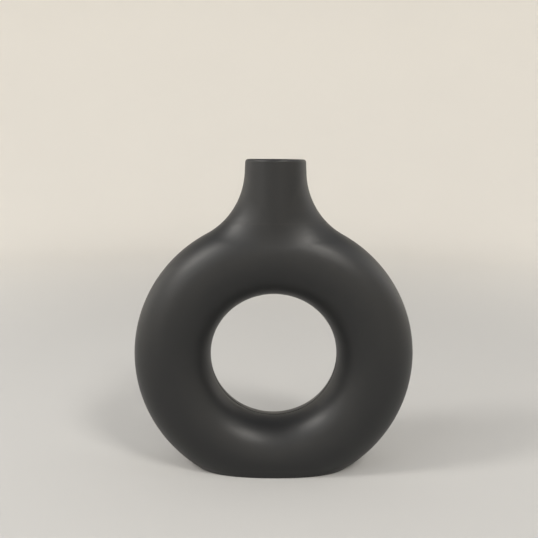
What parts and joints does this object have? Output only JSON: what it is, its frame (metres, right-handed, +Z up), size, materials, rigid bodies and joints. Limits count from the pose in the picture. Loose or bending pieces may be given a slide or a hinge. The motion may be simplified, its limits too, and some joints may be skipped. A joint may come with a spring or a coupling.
{
  "type": "donut vase",
  "caption": "Upright hollow ring vase in matte black clay with a short flared neck, a round mouth and a flat oval foot.",
  "frame": {"origin": "middle of the flat foot, on the surface the vase stands on", "axes": "+Z up through the neck, X across the ring's width, Y through the ring's hole with the front towards -Y"},
  "size_m": [0.18, 0.049, 0.2],
  "materials": {
    "clay": "matte black, satin",
    "slip": "matte black",
    "foot_clay": "matte black, sponged bare underneath"
  },
  "bodies": {
    "root": {"ring_front": "clay", "ring_back": "clay", "ring_seam": "slip", "neck": "clay", "neck_seam": "slip", "base": "foot_clay", "base_seam": "slip"}
  },
  "joints": []
}
